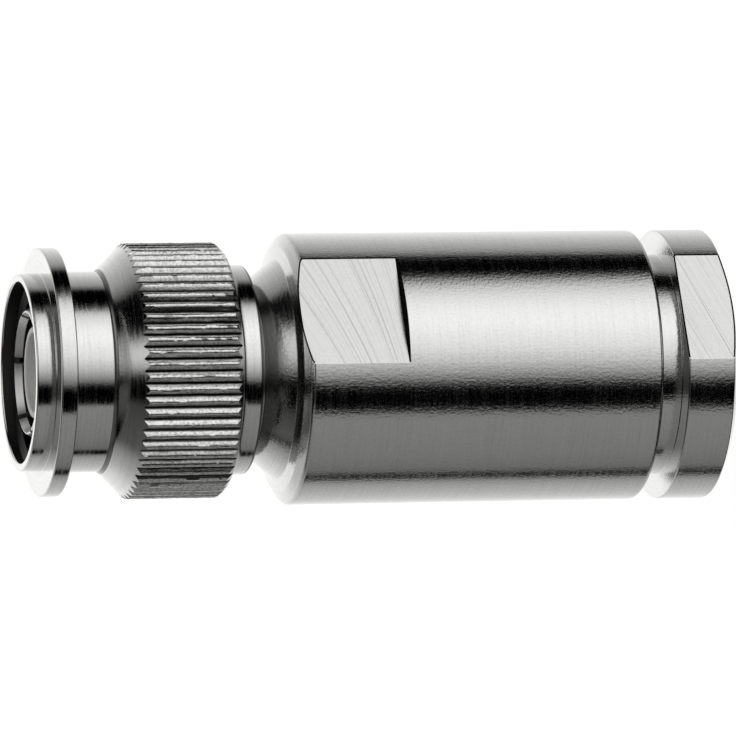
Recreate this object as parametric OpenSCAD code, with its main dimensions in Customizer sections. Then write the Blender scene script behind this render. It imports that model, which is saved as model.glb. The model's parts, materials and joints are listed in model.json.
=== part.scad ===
// Straight coaxial cable plug with a knurled coupling nut and a clamped cable entry.
// It stands on the clamp nut's rear face, with the mating end up along +Z.
// The wrench flats of body and clamp nut face +Y and -Y. All sizes are in millimetres.

/* [Clamp nut] */
// Length of the clamp nut's flange
clamp_flange_l = 3.35; // [2:0.05:6]
// Length of the chamfer on the flange's rear edge
rear_chamfer_l = 0.45; // [0.1:0.05:0.8]
// Depth of the chamfer on the flange's rear edge
rear_chamfer_h = 0.95; // [0.1:0.05:1.2]
// Gap between the flange and the body when the nut is home
clamp_gap = 1.55; // [0.5:0.05:3]
// Step from the thread's root in to the clamp nut's smooth neck
clamp_neck_step = 0.15; // [0.05:0.05:0.3]
// Length of the smooth neck inside the body
clamp_neck_in = 1.75; // [0.5:0.05:3]
// Length of the unthreaded nose at the clamp nut's inner end
clamp_nose_l = 0.6; // [0.3:0.05:1.2]
// Chamfer at the mouth of the cable hole
cable_mouth = 0.4; // [0.1:0.05:0.8]

/* [Clamp thread] */
// Wall of the body around the clamp thread
rear_wall = 0.85; // [0.6:0.05:1.5]
// Depth of the clamp thread
clamp_thread_h = 0.55; // [0.4:0.05:0.6]
// Length of the thread inside the body
clamp_thread_l = 6.6; // [5:0.1:9]

/* [Body] */
// Diameter of the body and of the clamp nut's flange
body_d = 16.7; // [14.8:0.1:20]
// Length of the body's thick barrel
body_l = 22.7; // [20:0.1:32]
// Depth of the wrench flats on body and clamp nut
flat_h = 0.85; // [0.5:0.05:1.1]
// Length of the body's wrench flats
flat_l = 6.7; // [4:0.1:9]
// Depth of the chamfer on the body's front edge
front_chamfer_h = 0.5; // [0.1:0.05:0.6]
// Length of the chamfer on the body's front edge
front_chamfer_l = 0.65; // [0.2:0.05:1.5]
// Width of the flat ring between that chamfer and the cone on the body's front
face_rim = 0.8; // [0.3:0.05:1]
// Gap from the end of that cone to the coupling nut, and step from there in to the neck
face_cone_gap = 0.3; // [0.15:0.05:0.6]
// Radius of the body's rear edge
rear_round = 0.3; // [0.1:0.05:0.5]
// Step from the clamp thread's root in to the chamber for the clamped pieces
chamber_step = 0.35; // [0.2:0.05:0.5]
// Distance from the body's front face back to the clamping shoulder
shoulder_in = 6.5; // [5.5:0.1:8]
// Diameter of the recess for the rear insulator
recess_d = 10.4; // [9.6:0.1:11]
// Distance from the body's front face back to the end of that recess
recess_in = 1.6; // [1:0.1:2.4]
// Width of the neck's end around the crowns of the contact fingers
neck_wall = 1; // [0.8:0.05:1.4]

/* [Coupling nut] */
// Gap between the coupling nut and the body's front face
coupling_gap = 2; // [1:0.05:4]
// Diameter of the plain hub behind the knurl
hub_d = 12.9; // [12:0.1:14]
// Length of the plain hub
hub_l = 1.55; // [0.5:0.05:3]
// Diameter over the knurl
knurl_d = 15.7; // [15:0.1:18]
// Length of the knurl
knurl_l = 5.85; // [5.5:0.05:9]
// Number of knurl ridges
knurl_count = 64; // [40:1:80]
// Depth of the knurl
knurl_h = 0.25; // [0.1:0.01:0.4]
// Width of the flat left on each ridge
knurl_land = 0.25; // [0.1:0.01:0.4]
// Depth of the chamfer at the rear end of the knurl
knurl_chamfer_h = 0.3; // [0.1:0.05:0.4]
// Length of the chamfer at the rear end of the knurl
knurl_chamfer_l = 0.35; // [0.1:0.05:0.6]
// Length of the cone in front of the knurl
cone_l = 1.7; // [1:0.05:3]
// Radius of the hollow between cone and neck
cone_round = 0.35; // [0.1:0.05:0.6]
// Wall of the coupling nut's neck around the coupling thread
sleeve_wall = 0.6; // [0.4:0.05:1]
// Length of the coupling nut's neck
sleeve_l = 2.65; // [1:0.05:4]
// Diameter of the front flange
lip_d = 15.25; // [14:0.05:18]
// Thickness of the front flange
lip_l = 1.05; // [0.6:0.05:2]
// Wall of the rim in front of the flange
rim_wall = 0.5; // [0.35:0.05:0.9]
// Length of the rim in front of the flange
rim_l = 1.2; // [0.5:0.05:2]
// Step from the running fit on the neck out to the coupling thread's root
thread_step = 0.45; // [0.2:0.05:0.6]
// Thread-free length at the mouth of the coupling nut
lead_in = 0.1; // [0.05:0.05:0.3]
// Extra depth of the undercut below the coupling thread
undercut_h = 0.12; // [0.05:0.01:0.3]
// Distance from the neck's end back to the floor of the undercut
undercut_in = 0.4; // [0.2:0.05:0.8]

/* [Mating face] */
// Distance from the rim back to the seal ring
seal_in = 6.05; // [5:0.05:7]
// Thickness of the seal ring
seal_l = 0.8; // [0.5:0.05:1.5]
// Diameter over the crowns of the contact fingers
contact_d = 8.1; // [7.3:0.05:9]
// Wall of the outer contact at the crowns of its fingers
contact_wall = 0.55; // [0.4:0.05:0.7]
// Height of the crowns over the fingers
crown_h = 0.2; // [0.1:0.05:0.3]
// Length of the crowns
crown_l = 0.6; // [0.3:0.05:1]
// Length of the slopes in front of and behind the crowns
tip_l = 0.45; // [0.2:0.05:0.8]
// Depth of the slope in front of the crowns
tip_h = 0.28; // [0.1:0.02:0.34]
// Step of the outer contact's shank over its fingers
shank_step = 0.05; // [0.05:0.01:0.1]
// Step of the outer contact's collar over the crowns
seat_step = 0.05; // [0.05:0.01:0.1]
// Distance from the rim back to the finger tips
finger_in = 0.5; // [0.2:0.05:1.5]
// Number of slots between the fingers, an even number
slot_count = 6; // [4:2:8]
// Width of each slot
slot_w = 0.4; // [0.2:0.05:0.6]
// Length of each slot
slot_l = 4.6; // [2:0.1:4.8]
// Turn of the first slot about the axis
slot_turn = -10; // [-30:1:30]
// Length of the outer contact inside the neck
contact_shank_l = 6.75; // [5.5:0.05:7.5]
// Diameter of the insulator's nose
nose_d = 5.6; // [5:0.05:6.2]
// Wall of the insulator's nose
nose_wall = 0.385; // [0.3:0.005:0.6]
// Distance from the rim back to the insulator's nose
nose_in = 0.9; // [0.5:0.05:2]
// Depth of the bore in the nose
nose_depth = 5.65; // [4:0.05:6]
// Diameter of the pin
pin_d = 1.37; // [1.2:0.01:1.6]
// Distance from the rim back to the pin's tip
pin_in = 1.35; // [1:0.05:2.5]
// Length of the pin's tapered tip
pin_tip_l = 0.9; // [0.4:0.05:1.5]

/* [Inner pieces] */
// Diameter of the centre contact behind the pin
core_d = 2.1; // [1.8:0.05:2.6]
// Diameter of the centre contact's collar
collar_d = 4.4; // [3.6:0.1:5]
// Length of the centre contact's collar
collar_l = 2; // [1:0.1:2.5]
// Diameter of the solder cup
cup_d = 3.2; // [2.9:0.05:3.5]
// Wall of the solder cup
cup_wall = 0.4; // [0.2:0.05:0.6]
// Depth of the solder cup
cup_depth = 4; // [2:0.1:5]
// Length of the solder cup behind the rear insulator
cup_out = 1.4; // [1:0.1:2]
// Diameter of the solder hole
solder_d = 0.9; // [0.5:0.05:1.2]
// Thickness of the rear insulator's disc
disc_l = 2.5; // [1.5:0.1:3.5]
// Step from the outer contact's bore in to the passage behind it
passage_step = 0.5; // [0.2:0.05:0.7]
// Width of the clamped rings around the cable's hole
stack_w = 1.2; // [0.9:0.05:1.8]
// Thickness of the braid clamp's front wall
clamp_wall = 1.9; // [1:0.1:3]
// Width of the braid clamp's front wall inside the cable's hole
braid_lip = 0.9; // [0.3:0.05:1.5]
// Width of the braid clamp's sealing ridge
ridge_w = 0.7; // [0.3:0.05:0.9]
// Height of the braid clamp's sealing ridge
ridge_h = 0.5; // [0.2:0.05:0.8]
// Length of the cable gasket
gasket_l = 4.1; // [3:0.1:5]
// Thickness of the slip washer
washer_l = 0.8; // [0.4:0.05:1.2]
// Distance from the coupling nut's rear end up to the retaining ring
ring_up = 3.2; // [2:0.05:4]
// Height of the retaining ring
ring_l = 0.7; // [0.4:0.05:1]
// Width of the retaining ring on each side of the running fit
ring_reach = 0.35; // [0.2:0.05:0.45]
// Opening of the retaining ring
ring_split = 2; // [1:0.1:4]

/* [Clearances] */
// Radial clearance of the coupling nut on the neck
run_gap = 0.05; // [0.02:0.01:0.1]
// Radial clearance of the clamped pieces in their chamber
slide_gap = 0.1; // [0.05:0.01:0.2]
// Room for the cable's screen in front of the braid clamp
screen_gap = 0.1; // [0.05:0.01:0.3]
// Clearance around the retaining ring in its grooves
ring_gap = 0.15; // [0.05:0.01:0.2]
// Break on sharp turned edges
edge = 0.1; // [0.05:0.01:0.15]

/* [Hidden] */
$fn = 96;
nickel = "#c8c8c4";
silver = "#d6d6d2";
white = "#f2f1ec";
rubber = "#2b2b2b";
// How far cuts run past the faces that they open
over = 0.5;

// Heights of the outer steps, from the clamp nut's rear face
z_flange = clamp_flange_l;
z_body = z_flange + clamp_gap;
z_face = z_body + body_l;
z_hub = z_face + coupling_gap;
z_knurl = z_hub + hub_l;
z_cone = z_knurl + knurl_l;
z_sleeve = z_cone + cone_l;
z_lip = z_sleeve + sleeve_l;
z_rim = z_lip + lip_l;
z_top = z_rim + rim_l;

// Heights inside the mating end
z_seal = z_top - seal_in;
z_neck = z_seal - seal_l;
z_shank = z_neck - contact_shank_l;
z_tip = z_top - finger_in;
z_nose = z_top - nose_in;
z_nose_floor = z_nose - nose_depth;
z_pin = z_top - pin_in;
z_ring = z_hub + ring_up;

// Heights inside the cable end
z_recess = z_face - recess_in;
z_disc = z_recess - disc_l;
z_cup = z_disc - cup_out;
z_collar = z_shank - collar_l;
z_shoulder = z_face - shoulder_in;
z_clamp = z_shoulder - screen_gap;
z_thread = z_body + clamp_thread_l;
z_nut = z_thread + slide_gap;
z_washer = z_nut + washer_l;
z_gasket = z_washer + gasket_l;

// Radii at the cable end, from the outside in
body_r = body_d / 2;
flat_y = body_r - flat_h;
face_edge_r = body_r - front_chamfer_h;
clamp_thread_r = body_r - rear_wall;
clamp_root_r = clamp_thread_r - clamp_thread_h;
clamp_neck_r = clamp_root_r - clamp_neck_step;
chamber_r = clamp_root_r - chamber_step;
stack_r = chamber_r - slide_gap;
cable_r = stack_r - stack_w;
ridge_r = (stack_r + cable_r) / 2;
recess_r = recess_d / 2;

// Radii at the mating end, from the contact fingers out and in
crown_r = contact_d / 2;
finger_r = crown_r - crown_h;
shank_r = finger_r + shank_step;
seat_r = crown_r + seat_step;
seal_r = seat_r + run_gap;
neck_r = crown_r + neck_wall;
face_foot_r = face_edge_r - face_rim;
thrust_r = neck_r + face_cone_gap;
ride_r = neck_r + run_gap;
thread_r = ride_r + thread_step;
bore_r = crown_r - contact_wall;
passage_r = bore_r - passage_step;
core_r = core_d / 2;
cup_r = cup_d / 2;

// Steps of a quarter round or of a hollow
arc_steps = 6;

function at(radius, turn) = [radius * cos(turn), radius * sin(turn)];

// A hollow of the given radius where a straight neck meets a cone, from the cone up to the neck
function hollow(radius, z, round, slope) = [
  for (step = [arc_steps:-1:0])
    [radius + round, z + round * tan(slope / 2)] + at(round, 180 + slope * step / arc_steps)
];

// A convex quarter round at the lower outer corner, from the bottom out to the side
function lower_round(radius, z, round) = [
  for (step = [0:arc_steps]) [radius - round, z + round] + at(round, 90 * (step / arc_steps - 1))
];

module lathe(points) {
  rotate_extrude() polygon(points);
}

module tube(outer_r, inner_r, z_from, z_to) {
  lathe([[inner_r, z_from], [outer_r, z_from], [outer_r, z_to], [inner_r, z_to]]);
}

// Material outside two flats, to be cut away between two heights
module flat_cuts(z_from, z_to) {
  for (side = [0, 180])
    rotate([0, 0, side])
      translate([-body_d, flat_y, z_from])
        cube([2 * body_d, body_d, z_to - z_from]);
}

// Straight V-grooves around a cylinder
module knurl_cuts(radius, depth, land, count, z_from, z_to) {
  half_w = PI * radius / count - land / 2;
  rise = depth * land / half_w / 4;
  outer_w = half_w + land / 4;
  for (i = [0:count - 1])
    rotate([0, 0, (i + 0.5) * 360 / count])
      translate([0, 0, z_from])
        linear_extrude(z_to - z_from)
          polygon([[radius - depth, 0], [radius + rise, -outer_w], [radius + rise, outer_w]]);
}

module body() {
  groove_r = neck_r - ring_reach - ring_gap;
  color(nickel)
    difference() {
      lathe(concat(
        [[clamp_thread_r, z_body]],
        lower_round(body_r, z_body, rear_round),
        [
          [body_r, z_face - front_chamfer_l],
          [face_edge_r, z_face],
          [face_foot_r, z_face],
          [thrust_r, z_hub - face_cone_gap],
          [neck_r, z_hub - face_cone_gap],
          [neck_r, z_ring],
          [groove_r, z_ring],
          [groove_r, z_ring + ring_l + ring_gap],
          [neck_r, z_ring + ring_l + ring_gap],
          [neck_r, z_neck - edge],
          [neck_r - edge, z_neck],
          [shank_r, z_neck],
          [shank_r, z_shank],
          [passage_r, z_shank],
          [passage_r, z_recess],
          [recess_r, z_recess],
          [recess_r, z_shoulder],
          [chamber_r, z_shoulder],
          [chamber_r, z_thread],
          [clamp_thread_r, z_thread]
        ]
      ));
      flat_cuts(z_face - flat_l, z_face + over);
    }
}

module coupling_nut() {
  knurl_r = knurl_d / 2;
  hub_r = hub_d / 2;
  lip_r = lip_d / 2;
  rim_r = thread_r + rim_wall;
  sleeve_r = thread_r + sleeve_wall;
  undercut_r = thread_r + undercut_h;
  z_undercut = z_neck - undercut_in;
  groove_r = ride_r + ring_reach + ring_gap;
  slope = atan2(knurl_r - sleeve_r, cone_l);
  color(nickel)
    difference() {
      lathe(concat(
        [
          [ride_r, z_hub],
          [hub_r - edge, z_hub],
          [hub_r, z_hub + edge],
          [hub_r, z_knurl],
          [knurl_r - knurl_chamfer_h, z_knurl],
          [knurl_r, z_knurl + knurl_chamfer_l],
          [knurl_r, z_cone]
        ],
        hollow(sleeve_r, z_sleeve, cone_round, slope),
        [
          [sleeve_r, z_lip],
          [lip_r - edge, z_lip],
          [lip_r, z_lip + edge],
          [lip_r, z_rim - edge],
          [lip_r - edge, z_rim],
          [rim_r, z_rim],
          [rim_r, z_top - edge],
          [rim_r - edge, z_top],
          [thread_r + lead_in, z_top],
          [thread_r, z_top - lead_in],
          [thread_r, z_seal],
          [undercut_r, z_seal - undercut_h],
          [undercut_r, z_undercut],
          [ride_r, z_undercut],
          [ride_r, z_ring + ring_l + ring_gap],
          [groove_r, z_ring + ring_l + ring_gap],
          [groove_r, z_ring - ring_gap],
          [ride_r, z_ring - ring_gap]
        ]
      ));
      knurl_cuts(knurl_r, knurl_h, knurl_land, knurl_count, z_hub, z_sleeve);
    }
}

module retaining_ring() {
  outer_r = ride_r + ring_reach;
  color(silver)
    difference() {
      tube(outer_r, neck_r - ring_reach, z_ring, z_ring + ring_l);
      translate([-ring_split / 2, 0, z_ring - over])
        cube([ring_split, outer_r * 2, ring_l + 2 * over]);
    }
}

module interface_gasket() {
  color(rubber)
    lathe([
      [seal_r, z_neck],
      [neck_r - edge, z_neck],
      [neck_r - edge, z_seal - edge],
      [neck_r - 2 * edge, z_seal],
      [seal_r + edge, z_seal],
      [seal_r, z_seal - edge]
    ]);
}

module outer_contact() {
  z_crown = z_tip - tip_l - crown_l;
  color(silver)
    difference() {
      lathe([
        [bore_r, z_shank],
        [shank_r, z_shank],
        [shank_r, z_neck],
        [seat_r, z_neck],
        [seat_r, z_seal - edge],
        [seat_r - edge, z_seal],
        [finger_r, z_seal],
        [finger_r, z_crown - tip_l],
        [crown_r, z_crown],
        [crown_r, z_tip - tip_l],
        [crown_r - tip_h, z_tip],
        [bore_r + edge, z_tip],
        [bore_r, z_tip - edge]
      ]);
      for (i = [0:slot_count / 2 - 1])
        rotate([0, 0, slot_turn + i * 360 / slot_count])
          translate([-contact_d, -slot_w / 2, z_tip - slot_l])
            cube([contact_d * 2, slot_w, slot_l + over]);
    }
}

module front_insulator() {
  nose_r = nose_d / 2;
  hole_r = nose_r - nose_wall;
  color(white)
    lathe([
      [core_r, z_shank],
      [bore_r, z_shank],
      [bore_r, z_seal],
      [nose_r, z_seal],
      [nose_r, z_nose - edge],
      [nose_r - edge, z_nose],
      [hole_r + edge, z_nose],
      [hole_r, z_nose - edge],
      [hole_r, z_nose_floor],
      [core_r, z_nose_floor]
    ]);
}

module rear_insulator() {
  color(white)
    lathe([
      [cup_r, z_disc],
      [recess_r, z_disc],
      [recess_r, z_recess],
      [passage_r, z_recess],
      [passage_r, z_collar],
      [cup_r, z_collar]
    ]);
}

module centre_contact() {
  hole_r = cup_r - cup_wall;
  collar_r = collar_d / 2;
  pin_r = pin_d / 2;
  tip_r = pin_r / 2;
  color(silver)
    difference() {
      lathe([
        [0, z_cup + cup_depth],
        [hole_r, z_cup + cup_depth],
        [hole_r, z_cup],
        [cup_r, z_cup],
        [cup_r, z_collar],
        [collar_r, z_collar],
        [collar_r, z_shank],
        [core_r, z_shank],
        [core_r, z_nose_floor],
        [pin_r, z_nose_floor],
        [pin_r, z_pin - pin_tip_l],
        [tip_r, z_pin - edge],
        [tip_r - edge, z_pin],
        [0, z_pin]
      ]);
      translate([0, 0, z_cup + cup_out / 2])
        rotate([90, 0, 0])
          cylinder(d = solder_d, h = cup_d);
    }
}

module braid_clamp() {
  screen_r = cable_r - braid_lip;
  color(nickel)
    lathe([
      [cable_r, z_gasket],
      [ridge_r - ridge_w / 2, z_gasket],
      [ridge_r, z_gasket - ridge_h],
      [ridge_r + ridge_w / 2, z_gasket],
      [stack_r, z_gasket],
      [stack_r, z_clamp - edge],
      [stack_r - edge, z_clamp],
      [screen_r, z_clamp],
      [screen_r, z_clamp - clamp_wall],
      [cable_r, z_clamp - clamp_wall]
    ]);
}

module cable_gasket() {
  color(rubber)
    lathe([
      [cable_r, z_washer],
      [stack_r, z_washer],
      [stack_r, z_gasket],
      [ridge_r + ridge_w / 2, z_gasket],
      [ridge_r, z_gasket - ridge_h],
      [ridge_r - ridge_w / 2, z_gasket],
      [cable_r, z_gasket]
    ]);
}

module slip_washer() {
  color(silver) tube(stack_r, cable_r, z_nut, z_washer);
}

module clamp_nut() {
  z_start = z_body + clamp_neck_in;
  color(nickel)
    difference() {
      lathe([
        [cable_r + cable_mouth, 0],
        [body_r - rear_chamfer_h, 0],
        [body_r, rear_chamfer_l],
        [body_r, z_flange - edge],
        [body_r - edge, z_flange],
        [clamp_neck_r, z_flange],
        [clamp_neck_r, z_start],
        [clamp_root_r, z_start],
        [clamp_root_r, z_nut - clamp_nose_l],
        [stack_r, z_nut - clamp_nose_l],
        [stack_r, z_nut],
        [cable_r, z_nut],
        [cable_r, cable_mouth]
      ]);
      flat_cuts(-over, z_flange + over);
    }
}

body();
coupling_nut();
retaining_ring();
interface_gasket();
outer_contact();
front_insulator();
rear_insulator();
centre_contact();
braid_clamp();
cable_gasket();
slip_washer();
clamp_nut();
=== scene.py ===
"""Looks of a straight coaxial cable plug: turned nickel, a knurled coupling nut and a white insulator."""

import json
import math

import bmesh
import bpy
from mathutils import Matrix, Vector, noise


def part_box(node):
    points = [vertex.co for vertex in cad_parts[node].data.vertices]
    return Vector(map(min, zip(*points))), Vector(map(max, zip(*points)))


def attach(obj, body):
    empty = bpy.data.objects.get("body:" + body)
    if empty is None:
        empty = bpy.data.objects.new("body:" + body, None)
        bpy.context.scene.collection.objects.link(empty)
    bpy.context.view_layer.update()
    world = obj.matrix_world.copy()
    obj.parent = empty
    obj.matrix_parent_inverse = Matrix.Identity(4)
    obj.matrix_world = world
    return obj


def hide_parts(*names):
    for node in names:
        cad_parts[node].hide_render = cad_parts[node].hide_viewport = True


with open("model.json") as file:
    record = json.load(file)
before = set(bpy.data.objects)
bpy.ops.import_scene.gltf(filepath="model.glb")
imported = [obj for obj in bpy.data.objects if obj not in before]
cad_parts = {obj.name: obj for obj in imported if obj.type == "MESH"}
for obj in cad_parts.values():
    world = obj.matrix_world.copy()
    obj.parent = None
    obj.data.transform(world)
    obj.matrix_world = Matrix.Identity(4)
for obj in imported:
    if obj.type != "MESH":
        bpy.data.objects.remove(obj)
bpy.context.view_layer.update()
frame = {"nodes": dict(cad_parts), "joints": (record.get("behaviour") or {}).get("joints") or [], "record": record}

# Units: pieces are modelled in millimetres and scaled to metres when they are finished.
MM = 0.001
MICRON = 0.000001
TINY = 0.002
WELD = TINY / 10
FULL_TURN = 2 * math.pi
TURN_STEPS = 192
SMALL_STEPS = 128
PIN_STEPS = 96
CREASE = math.radians(35)


def low_and_high(node):
    """The lowest and highest corner of a solid, in millimetres."""
    low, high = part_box(node)
    return low / MM, high / MM


def mount_radius(name):
    """The radius that the record gives for a mount, in millimetres."""
    return next(m["dims"]["r_mm"] for m in frame["record"]["mounts"] if m["name"] == name)


# Heights and radii that the solids give
body_low, body_high = low_and_high("body")
knurl_low, knurl_high = low_and_high("coupling_nut")
contact_low, contact_high = low_and_high("outer_contact")
pin_low, pin_high = low_and_high("centre_contact")
nut_high = low_and_high("clamp_nut")[1]
front_high = low_and_high("front_insulator")[1]
seal_high = low_and_high("interface_gasket")[1]

Z_BODY = body_low.z
Z_NECK = body_high.z
Z_NUT = nut_high.z
Z_HUB = knurl_low.z
Z_TOP = knurl_high.z
Z_SHANK = contact_low.z
Z_TIP = contact_high.z
Z_NOSE = front_high.z
Z_PIN = pin_high.z
Z_CUP = pin_low.z
Z_SEAL = seal_high.z
BODY_R = body_high.x
FLAT_Y = nut_high.y
KNURL_R = knurl_high.x
CABLE_R = mount_radius("cable_entry")
CROWN_R = mount_radius("jack_contact")
PIN_R = mount_radius("centre_pin")
THREAD_R = mount_radius("coupling_thread")

# Barrel
BARREL_L = 22.7
FLAT_L = 6.7
FRONT_CHAMFER_H = 0.75
FRONT_CHAMFER_L = 0.62
FACE_RIM = 0.85
FACE_FALL = 0.2
FRONT_ROUND = 0.18
REAR_ROUND = 0.3
NECK_R = 5.05
THRUST_STEP = 0.3
CHAMBER_R = 6.6
RECESS_R = 5.2
PASSAGE_R = 3.0
SHANK_R = 3.9
RECESS_L = 1.6
SHOULDER_L = 6.5
THREAD_L = 6.6
Z_FACE = Z_BODY + BARREL_L
Z_RECESS = Z_FACE - RECESS_L
Z_SHOULDER = Z_FACE - SHOULDER_L
Z_THREAD_END = Z_BODY + THREAD_L

# Clamp nut
FLANGE_L = 3.35
REAR_CHAMFER_L = 0.45
REAR_CHAMFER_H = 0.95
NUT_NECK_R = 6.8
NUT_ROOT_R = 6.95
NUT_NOSE_R = 6.5
NUT_NOSE_L = 0.6
CABLE_MOUTH = 0.4
NUT_PLAIN_L = 1.75
Z_NUT_THREAD = Z_BODY + NUT_PLAIN_L

# Threads: foot and crest of a ridge are shares of its pitch, and its ends fade within a share of a turn
CLAMP_THREAD_R = 7.5
CLAMP_PITCH = 1.0
CLAMP_RIDGE_H = 0.48
NUT_LEAD = 0.4
NUT_TURNS = 3.5
BARREL_LEAD = 0.9
BARREL_TURNS = 4
COUPLING_PITCH = 0.907
COUPLING_RIDGE_H = 0.42
COUPLING_LEAD = 0.25
COUPLING_TURNS = 6
RIDGE_FOOT = 0.8
RIDGE_CREST = 0.14
RIDGE_SINK = 0.04
RIDGE_FADE = 0.3
RIDGE_STEPS = 96

# Coupling nut
HUB_R = 6.45
HUB_L = 1.55
HUB_HOLLOW = 0.55
HUB_ROUND = 0.2
KNURL_L = 5.85
KNURL_COUNT = 64
KNURL_H = 0.3
KNURL_LAND = 0.14
KNURL_CHAMFER_H = 0.3
KNURL_CHAMFER_L = 0.35
KNURL_RINGS = 40
STEPS_PER_RIDGE = 8
CONE_L = 1.7
CONE_HOLLOW = 0.16
SLEEVE_R = 6.15
SLEEVE_L = 2.65
LIP_R = 7.625
LIP_L = 1.05
RIM_R = 6.05
RIDE_R = 5.1
RING_GROOVE_R = 5.6
UNDERCUT_R = 5.67
UNDERCUT_SLOPE = 0.12
NECK_LAP = 0.4
Z_KNURL = Z_HUB + HUB_L
Z_CONE = Z_KNURL + KNURL_L
Z_SLEEVE = Z_CONE + CONE_L
Z_LIP = Z_SLEEVE + SLEEVE_L
Z_RIM = Z_LIP + LIP_L

# Unevenness of the pressed knurl: a groove drifts by an angle and a land has a burr, each with its scales
KNURL_DRIFT = 0.003
DRIFT_ACROSS = 2.6
DRIFT_ALONG = 0.9
KNURL_BURR = 0.016
BURR_SCALE = 5

# Retaining ring's groove, half in the neck and half in the coupling nut
RING_SETBACK = 3.2
RING_L = 0.7
RING_GAP = 0.15
NECK_GROOVE_H = 0.5
Z_RING = Z_HUB + RING_SETBACK
Z_RING_END = Z_RING + RING_L + RING_GAP

# Contact, insulator, pin and seal
CONTACT_BORE_R = 3.5
FINGER_R = 3.85
SEAT_R = 4.1
CROWN_L = 0.6
TIP_L = 0.45
TIP_H = 0.28
MOUTH_H = 0.18
SLOT_W = 0.4
SLOT_L = 4.6
SLOT_COUNT = 6
SLOT_TURN = math.radians(-10)
NOSE_R = 2.8
NOSE_BORE_R = 2.415
NOSE_DEPTH = 5.65
CORE_R = 1.05
COLLAR_R = 2.2
COLLAR_L = 2.0
CUP_R = 1.6
CUP_BORE_R = 1.2
CUP_DEPTH = 4.0
PIN_TIP_L = 0.9
SEAL_BORE_R = 4.15
SEAL_ROUND = 0.2
SLIP = 0.01

# Breaks on turned edges, and into how many steps a wide and a narrow one are divided
FINE = 0.05
SOFT = 0.1
ROUND_SEGMENTS = 8
BREAK_SEGMENTS = 3

# Extra points on a long line of an outline, this far from its ends
SUPPORT = 0.02
LONG_LINE = 10 * SUPPORT

# Milled flats: the width of the painted shade line around a flat, and how far a cut runs past the end of its piece
FLAT_LINE = 0.1
PAST_END = 1


def spun(bm, steps):
    """Turns the outline in a bmesh once about the axis and closes the skin."""
    bmesh.ops.delete(bm, geom=bm.faces[:], context="FACES_ONLY")
    bmesh.ops.spin(
        bm, geom=bm.verts[:] + bm.edges[:], cent=(0, 0, 0), axis=(0, 0, 1), dvec=(0, 0, 0),
        angle=FULL_TURN, steps=steps, use_merge=True,
    )
    bmesh.ops.remove_doubles(bm, verts=bm.verts[:], dist=WELD)
    bmesh.ops.recalc_face_normals(bm, faces=bm.faces[:])


def add_supports(bm):
    """Puts points near both ends of long outline lines, which keep the shading even up to the breaks."""
    bm.faces.ensure_lookup_table()
    points = [vert.co.copy() for vert in bm.faces[0].verts]
    bm.clear()
    ring = []
    for start, end in zip(points, points[1:] + points[:1]):
        ring.append(bm.verts.new(start))
        line = end - start
        if line.length > LONG_LINE:
            ring.append(bm.verts.new(start + line.normalized() * SUPPORT))
            ring.append(bm.verts.new(end - line.normalized() * SUPPORT))
    bm.faces.new(ring)


def turned(outline, steps=TURN_STEPS):
    """A lathe shape from a closed outline of (radius, height, round of that corner)."""
    bm = bmesh.new()
    corners = [(bm.verts.new((radius, 0, height)), size) for radius, height, size in outline]
    bm.faces.new([corner for corner, size in corners])
    for size in sorted({size for corner, size in corners if size > 0}, reverse=True):
        bmesh.ops.bevel(
            bm, geom=[corner for corner, own in corners if own == size], offset=size,
            segments=ROUND_SEGMENTS if size > SOFT else BREAK_SEGMENTS,
            profile=0.5, affect="VERTICES", clamp_overlap=True, material=-1,
        )
    add_supports(bm)
    spun(bm, steps)
    return bm


def boundary_on(bm, test):
    """Open edges whose two ends both pass a test."""
    return [e for e in bm.edges if e.is_boundary and all(test(v) for v in e.verts)]


def mill_flat(bm, side, z_from, z_to, flat_slot, shade_slot):
    """Cuts a flat across the turned skin between two heights, with its step; the step and a line around the flat
    get painted shade.
    """
    everything = bm.verts[:] + bm.edges[:] + bm.faces[:]
    bmesh.ops.bisect_plane(bm, geom=everything, dist=WELD, plane_co=(0, 0, z_from), plane_no=(0, 0, 1))

    def within(face):
        middle = face.calc_center_median()
        return z_from < middle.z < z_to and middle.y * side > 0

    span = [f for f in bm.faces if f.calc_center_median().y * side > 0]
    edges = {e for f in span for e in f.edges}
    verts = {v for f in span for v in f.verts}
    bmesh.ops.bisect_plane(
        bm, geom=span + list(edges) + list(verts), dist=WELD,
        plane_co=(0, side * FLAT_Y, 0), plane_no=(0, side, 0),
    )
    beyond = [f for f in bm.faces if within(f) and f.calc_center_median().y * side > FLAT_Y]
    bmesh.ops.delete(bm, geom=beyond, context="FACES")

    def on_flat(vert):
        return abs(vert.co.y - side * FLAT_Y) < TINY

    def on_step(vert):
        return abs(vert.co.z - z_from) < TINY

    flat_rim = boundary_on(bm, on_flat)
    step_rim = boundary_on(bm, on_step)
    if step_rim:
        ends = [v for v in {v for e in flat_rim for v in e.verts} if on_step(v)]
        chord = bm.edges.new(ends)
        flat_rim.append(chord)
        step = bmesh.ops.contextual_create(bm, geom=step_rim + [chord])["faces"]
        # The step's faces take painted shade
        for face in step:
            face.material_index = shade_slot
    flat = bmesh.ops.contextual_create(bm, geom=flat_rim)["faces"]
    lower_x = max(v.co.x * side for f in flat for v in f.verts)
    border = bmesh.ops.inset_individual(bm, faces=flat, thickness=FLAT_LINE, use_even_offset=True)["faces"]
    for face in flat:
        face.material_index = flat_slot
    # The line around the flat is painted shade, but its lower edge in the view stays bright with the flat's finish
    for face in border:
        lower = face.calc_center_median().x * side > lower_x - FLAT_LINE
        face.material_index = flat_slot if lower else shade_slot
    bmesh.ops.recalc_face_normals(bm, faces=bm.faces[:])


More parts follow.
